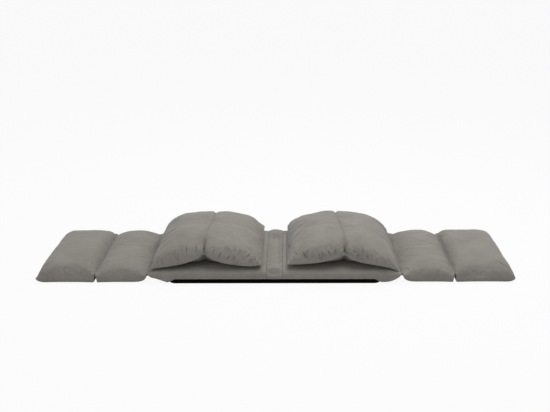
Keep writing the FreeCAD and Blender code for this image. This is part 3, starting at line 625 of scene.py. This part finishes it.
FLAPS = {
    "legrest": {"sign": 1, "seed": 41, "drawn_in": 0.000, "far_in": 0.000},
    "headrest": {"sign": -1, "seed": 57, "drawn_in": 0.004, "far_in": 0.004},
}
FREE_RIM = 0.022
LOBE_SIDE = 0.020
LOBE_COLUMNS = 100
LOBE_TRAVEL, LOBE_SPARE = 0.007, -0.008
LOBE_SIDE_GATHERS = dict(pitch=0.024, height=0.034, reach=0.010, depth=0.0036)
LOBE_END_GATHERS = dict(pitch=0.026, height=0.012, reach=0.010, depth=0.0012)
LOBE_LUMPS = 0.003
# How far above the floor every point of a lobe is kept
OFF_FLOOR = 0.0004
# Distance from a lobe's end seam and height of its top. At the channel the outer lobe is
# steep and the inner one gentle, so that they meet edge to edge when the tip folds over.
FOLD_RISE = [(0.0, FOLD_Z), (0.010, 0.0478), (0.030, 0.0625), (0.055, 0.0740), (0.085, 0.0805)]
GENTLE_RISE = [(0.0, FOLD_Z), (0.006, 0.0460), (0.020, 0.0590), (0.040, 0.0705), (0.070, 0.0790)]
STEEP_RISE = [(0.0, FOLD_Z), (0.003, 0.0505), (0.007, 0.0620), (0.014, 0.0725), (0.030, 0.0805)]
FREE_RISE = [(0.0, FREE_RIM), (0.004, 0.0420), (0.013, 0.0610), (0.032, 0.0755), (0.060, 0.0810)]
# Distance from an end seam and height of the side edge
BLUNT_SIDE = [(0.0, FOLD_Z), (0.004, 0.030), (0.012, 0.022), (0.050, LOBE_SIDE)]
POINTED_SIDE = [(0.0, FOLD_Z), (0.012, 0.031), (0.050, LOBE_SIDE)]
FREE_SIDE = [(0.0, FREE_RIM), (0.050, LOBE_SIDE)]


def thin_lobe(flap, which):
    """The inner or outer lobe of a flap, a thin stuffed bag that rests on the floor."""
    shape = FLAPS[flap]
    outer = which == "outer"
    low, high = (TIP_LOW, TIP_HIGH) if outer else (LOBE_LOW, LOBE_HIGH)
    near_rise, far_rise = (STEEP_RISE, FREE_RISE) if outer else (FOLD_RISE, GENTLE_RISE)
    knots = [(low.x + d, z) for d, z in near_rise] + [((low.x + high.x) / 2, high.z)]
    knots += [(high.x - d, z) for d, z in reversed(far_rise)]
    places = stations(knots, low.x, high.x, 44)
    near_side, far_side = (BLUNT_SIDE, FREE_SIDE) if outer else (POINTED_SIDE, BLUNT_SIDE)
    side_knots = [(low.x + d, z) for d, z in near_side]
    side_knots += [(high.x - d, z) for d, z in reversed(far_side)]
    side, crown = through(side_knots, places), through(knots, places)
    run = (places - low.x) / (high.x - low.x) * 2 - 1
    width = high.y - 0.007 + 0.006 * np.abs(run) ** 3
    top = sheet(places, width, side, crown, arch(LOBE_COLUMNS, 3.5, 0.28))
    bottom = top.copy()
    reach = np.linspace(-1, 1, LOBE_COLUMNS)[1:-1]
    bottom[:, 1:-1, 1] = width[:, None] * np.sign(reach) * np.abs(reach) ** 0.85
    side_gap = (width[:, None] - np.abs(bottom[..., 1])) / 0.022
    inner_gap = (places - low.x)[:, None] / (0.008 if outer else 0.075)
    outer_gap = (high.x - places)[:, None] / (0.045 if outer else 0.008)
    fallen = 1
    for gap, power in ((side_gap, 3), (inner_gap, 2.4), (outer_gap, 2.4)):
        fallen = fallen * (1 - (1 - np.clip(gap, 0, 1)) ** power) ** (1 / power)
    bottom[..., 2] = side[:, None] * (1 - fallen)
    share_rim(top, bottom)
    if outer:
        free = step(places, high.x - 0.11, high.x)[:, None]
        for grid in (top, bottom):
            share = grid[..., 1] / high.y
            pulled = shape["drawn_in"] * (1 - np.abs(share) ** 14)
            pulled += shape["far_in"] * step(share, 0.2, 0.9)
            grid[..., 0] -= free * pulled
    name = f"{flap}_{which}"
    top, bottom = plumped(name, top, bottom, LOBE_TRAVEL, LOBE_SPARE)
    top, bottom = finer(top), finer(bottom)
    top = sewn(top, shape["seed"] + 9 * outer, LOBE_SIDE_GATHERS, LOBE_END_GATHERS, LOBE_LUMPS)
    for grid in (top, bottom):
        grid[..., 2] = np.maximum(grid[..., 2], OFF_FLOOR)
    share_rim(top, bottom)
    body = f"{flap}_tip" if outer else flap
    piece = cushion(f"{name}_cushion", top, bottom, shape["sign"], body, 0.7, f"{name}_pillow")
    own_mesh(piece)


# The cloth over the hinge, the black base and the corded seams

GUSSET_CLOTH = 0.0015
GUSSET_COLUMNS = 101
GUSSET_LUMPS = 0.0022
GUSSET_SAG = 0.047
# The cloth lies higher over the hinge's side plates, so that they stay covered while the back is
# up. It rises and sinks again between these distances from the chair's middle.
PLATES_FROM, PLATES_TO = (0.17, 0.215), (0.255, 0.275)
COVER_AT_PADS, COVER_RISE = 0.0588, 0.0077


def gusset():
    """The cloth that bridges the two pads, over the hinge."""
    places = np.linspace(GUSSET_LOW.x, GUSSET_HIGH.x, 25)
    half_run = np.abs(places) / GUSSET_HIGH.x
    crown = GUSSET_SAG + 0.0145 * half_run ** 2.4 + 0.0009 * np.cos(half_run * 9)
    side = np.full_like(places, PAD_SIDE_LINE[0][1])
    section = arch(GUSSET_COLUMNS, PAD_FULLNESS, PAD_ASPECT)
    top = sheet(places, np.full_like(places, PAD_WIDTH), side, crown, section)
    from_middle = np.abs(top[..., 1])
    over_plates = step(from_middle, *PLATES_FROM) * (1 - step(from_middle, *PLATES_TO))
    cover = COVER_AT_PADS + COVER_RISE * (1 - half_run ** 2)
    top[..., 2] += over_plates * (cover[:, None] - top[..., 2])
    top = finer(top)
    swell = rough(top * (1, 0.35, 1), 0.05, 91) * GUSSET_LUMPS
    across = walked(top, 1)
    rim = step(across, 0, RIM_WIDTH) * step(across[:, -1:] - across, 0, RIM_WIDTH)
    edge = 1 - np.abs(top[..., 0] / GUSSET_HIGH.x) ** 6
    top += outward(top) * (swell * rim * edge)[..., None]
    bottom = top - outward(top) * GUSSET_CLOTH
    share_rim(top, bottom)
    piece = dress(closed_bag("hinge_cloth", top, bottom), "upholstery", None, "hinge_gusset")
    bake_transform(piece)


BASE_START = 0.0001
BASE_CORNER = 0.030
BASE_CLOTH = 0.0016
# How far the wall stands out and how high, from the floor to the turned hem
BASE_PROFILE = [
    (0.0, 0.0), (0.0012, 0.0003), (0.0026, 0.0010), (0.0036, 0.0022), (0.0040, 0.0040), (0.0040, 0.0085),
    (0.0038, 0.0125), (0.0039, 0.0165), (0.0036, 0.0180), (0.0040, 0.0195), (0.0042, 0.0220),
    (0.0040, 0.0240), (0.0034, 0.0249),
]
BASE_WIDEST = 0.0042
BASE_PROUD = 0.0004
# At the chair's middle line the floor's rings keep this share of their length
FLOOR_REACH = 0.4


def base_cloth(half, sign, seed):
    """The black tray under one half: a floor, a wall on three sides and a turned hem."""
    turn = np.linspace(-math.pi / 2, 0, 13)
    straight = np.linspace(BASE_START, BASE_HIGH.x - BASE_CORNER, 90)[:-1]
    near = np.stack([straight, np.full_like(straight, -BASE_HIGH.y)], axis=1)
    corner = np.stack([
        BASE_HIGH.x - BASE_CORNER + BASE_CORNER * np.cos(turn),
        -BASE_HIGH.y + BASE_CORNER + BASE_CORNER * np.sin(turn),
    ], axis=1)
    half_line = np.concatenate([near, corner])
    middle = np.linspace(corner[-1, 1], -corner[-1, 1], 100)[1:-1]
    end = np.stack([np.full_like(middle, BASE_HIGH.x), middle], axis=1)
    line = np.concatenate([half_line, end, half_line[::-1] * (1, -1)])
    normal = np.gradient(line, axis=0)
    normal = np.stack([normal[:, 1], -normal[:, 0]], axis=1)
    normal /= np.linalg.norm(normal, axis=1, keepdims=True)
    length = np.concatenate([[0], np.cumsum(np.linalg.norm(np.diff(line, axis=0), axis=1))])
    wave = 0.0005 * np.sin(length * 61 + seed) + 0.0004 * np.sin(length * 143 + 2 * seed)
    rings = []
    for out, height in BASE_PROFILE:
        waved = wave * step(height, 0.002, 0.008) * (1 - step(height, 0.015, 0.018))
        offset = out - BASE_WIDEST + waved
        ring = line + normal * np.minimum(offset, BASE_PROUD)[:, None]
        rings.append(np.column_stack([ring, np.full(len(ring), height)]))
    # The floor is drawn from the wall's foot towards the middle line
    foot = rings[0]
    floor = []
    for share in np.linspace(0, 1, 24)[:-1]:
        ring = foot.copy()
        ring[:, 0] = BASE_START + (ring[:, 0] - BASE_START) * (FLOOR_REACH + (1 - FLOOR_REACH) * share)
        ring[:, 1] *= share
        ring[:, 2] = 0.0
        floor.append(ring)
    grid = np.array(floor + rings)
    rows, columns = grid.shape[:2]
    index = np.arange(rows * columns).reshape(rows, columns)
    corners = [index[:-1, :-1], index[:-1, 1:], index[1:, 1:], index[1:, :-1]]
    faces = np.stack([corner.ravel() for corner in corners], axis=1)
    points = grid.reshape(-1, 3) * (sign, 1, 1)
    if sign < 0:
        faces = faces[:, ::-1]
    piece = new_piece(f"{half}_base_cloth", points, faces.tolist())
    thick = piece.modifiers.new("cloth", "SOLIDIFY")
    thick.thickness = BASE_CLOTH
    thick.offset = -1
    applied(piece)
    dress(piece, "base_fabric", half, f"{half}_base_cover")


def applied(piece):
    """Keep what a piece's modifiers make as its mesh."""
    graph = bpy.context.evaluated_depsgraph_get()
    mesh = bpy.data.meshes.new_from_object(piece.evaluated_get(graph))
    piece.modifiers.clear()
    piece.data = mesh


# The strip by which a cord is sewn in lies under the rims of both lobes. Its section is given as
# places along X and up from the cord's middle.
FLANGE = [
    (-0.0010, -0.0055), (-0.0036, -0.0060), (-0.0036, -0.0072), (0.0036, -0.0072), (0.0036, -0.0060),
    (0.0010, -0.0055),
]
WELT_ROWS = 180


def welt(node, sign, x, body, seed, thickness):
    """A corded seam between two lobes, a little uneven as a sewn cord is. Thickness is its share of
    the CAD cord's."""
    rows = WELT_ROWS
    y = np.linspace(WELT_LOW.y, WELT_HIGH.y, rows)
    radius = (WELT_HIGH.z - WELT_LOW.z) / 2 * thickness
    turn = np.linspace(math.radians(-60), math.radians(240), 14)
    uneven = 0.93 + 0.06 * np.sin(y * 190 + seed) * np.sin(y * 71 + 2 * seed)
    tapered = np.sqrt(np.clip(1 - ((np.abs(y) - WELT_HIGH.y + radius) / radius).clip(0, 1) ** 2, 0.02, 1))
    cord = np.stack([np.cos(turn), np.sin(turn)], axis=1) * radius
    section = np.concatenate([cord, FLANGE])
    sides = len(section)
    share = np.ones((rows, sides, 1))
    share[:, :len(cord), 0] = (uneven * tapered)[:, None]
    across = section * share
    points = np.stack([
        x + across[..., 0],
        np.broadcast_to(y[:, None], (rows, sides)),
        FOLD_Z + across[..., 1],
    ], axis=2).reshape(-1, 3) * (sign, 1, 1)
    faces = []
    for start in range(0, (rows - 1) * sides, sides):
        for side in range(sides):
            after = (side + 1) % sides
            faces.append([start + side, start + after, start + sides + after, start + sides + side])
    faces += [list(range(sides))[::-1], list(range((rows - 1) * sides, rows * sides))]
    if sign < 0:
        faces = [face[::-1] for face in faces]
    dress(new_piece(f"{node}_cord", points, faces), "upholstery", body, node)


# Stage, light and camera

PHOTO_WIDTH = 550
FOCAL_PIXELS = 935
CAMERA_PLACE = (0.07, -4.01, 1.50)
CAMERA_PITCH, CAMERA_YAW, CAMERA_ROLL = 17.15, 1.0, -0.45
LAMP_TARGET = (0, 0, 0.05)
FLOOR_GREY = 0.80
FLOOR_SEEN_WHITE = 0.93
AMBIENT_LIGHT = 0.38


def camera():
    """A camera that was fitted to the chair's corners in the photograph."""
    data = bpy.data.cameras.new("camera")
    data.sensor_width = 36
    data.lens = FOCAL_PIXELS * data.sensor_width / PHOTO_WIDTH
    data.clip_end = 100
    thing = bpy.data.objects.new("camera", data)
    bpy.context.scene.collection.objects.link(thing)
    turn = Matrix.Rotation(math.radians(CAMERA_YAW), 4, "Z")
    tilt = Matrix.Rotation(math.radians(90 - CAMERA_PITCH), 4, "X")
    roll = Matrix.Rotation(math.radians(CAMERA_ROLL), 4, "Z")
    thing.matrix_world = Matrix.Translation(CAMERA_PLACE) @ turn @ tilt @ roll
    bpy.context.scene.camera = thing


def lamp(name, place, size, power):
    """A soft rectangular lamp that points at the chair."""
    data = bpy.data.lights.new(name, "AREA")
    data.shape = "RECTANGLE"
    data.size, data.size_y = size
    data.energy = power
    thing = bpy.data.objects.new(name, data)
    thing.location = place
    thing.rotation_euler = (Vector(LAMP_TARGET) - Vector(place)).to_track_quat("-Z", "Y").to_euler()
    bpy.context.scene.collection.objects.link(thing)


def seen_white(tree, shader, strength):
    """Mix a shader with plain white where the camera, a gloss or a clear ray sees it."""
    paths = tree.nodes.new("ShaderNodeLightPath")
    seen = paths.outputs["Is Camera Ray"]
    for name in ("Is Glossy Ray", "Is Transmission Ray"):
        either = tree.nodes.new("ShaderNodeMath")
        either.operation = "MAXIMUM"
        tree.links.new(seen, either.inputs[0])
        tree.links.new(paths.outputs[name], either.inputs[1])
        seen = either.outputs[0]
    share = tree.nodes.new("ShaderNodeMath")
    share.operation = "MULTIPLY"
    share.inputs[1].default_value = strength
    tree.links.new(seen, share.inputs[0])
    white = tree.nodes.new("ShaderNodeEmission")
    mix = tree.nodes.new("ShaderNodeMixShader")
    tree.links.new(share.outputs[0], mix.inputs["Fac"])
    tree.links.new(shader, mix.inputs[1])
    tree.links.new(white.outputs[0], mix.inputs[2])
    return mix.outputs[0]


def stage():
    """A pale floor, a white surround and two soft lamps."""
    bpy.ops.mesh.primitive_plane_add(size=60, location=(0, 0, -0.0005))
    floor = bpy.context.object
    floor.name = "floor"
    material = bpy.data.materials.new("pale_floor")
    material.use_nodes = True
    tree = material.node_tree
    shader = tree.nodes["Principled BSDF"]
    shader.inputs["Base Color"].default_value = (FLOOR_GREY, FLOOR_GREY, FLOOR_GREY, 1)
    shader.inputs["Roughness"].default_value = 0.9
    shader.inputs["Specular IOR Level"].default_value = 0.0
    output = tree.nodes["Material Output"]
    tree.links.new(seen_white(tree, shader.outputs[0], FLOOR_SEEN_WHITE), output.inputs["Surface"])
    floor.data.materials.append(material)
    world = bpy.data.worlds.new("studio")
    bpy.context.scene.world = world
    world.use_nodes = True
    tree = world.node_tree
    ambient = tree.nodes["Background"]
    ambient.inputs["Color"].default_value = (1.0, 1.0, 1.0, 1)
    ambient.inputs["Strength"].default_value = AMBIENT_LIGHT
    tree.links.new(seen_white(tree, ambient.outputs[0], 1.0), tree.nodes["World Output"].inputs["Surface"])
    lamp("overhead", (0.5, 0.5, 2.6), (3.4, 2.0), 51)
    lamp("left_fill", (-2.6, -2.2, 1.8), (1.6, 1.6), 9)


# The dressed chair

for chair_half in PILLOWS:
    thick_pillow(chair_half)
for flap_name, flap in FLAPS.items():
    thin_lobe(flap_name, "inner")
    thin_lobe(flap_name, "outer")
    holder = "seat" if flap["sign"] > 0 else "back"
    welt(f"{flap_name}_hinge_seam", flap["sign"], FOLD_X, holder, flap["seed"], 1.0)
    welt(f"{flap_name}_channel_seam", flap["sign"], CHANNEL_X, flap_name, flap["seed"] + 1, 0.9)
pad("seat", 1, 71, 0.0)
pad("back", -1, 83, 0.009)
gusset()
base_cloth("seat", 1, 3)
base_cloth("back", -1, 5)

for subpart in frame["record"]["subparts"]:
    node = frame["nodes"][subpart["node"]]
    node.data.materials.clear()
    node.data.materials.append(MATERIALS[subpart["material_slot"]])

stage()
camera()
bpy.context.scene.view_settings.view_transform = "Standard"
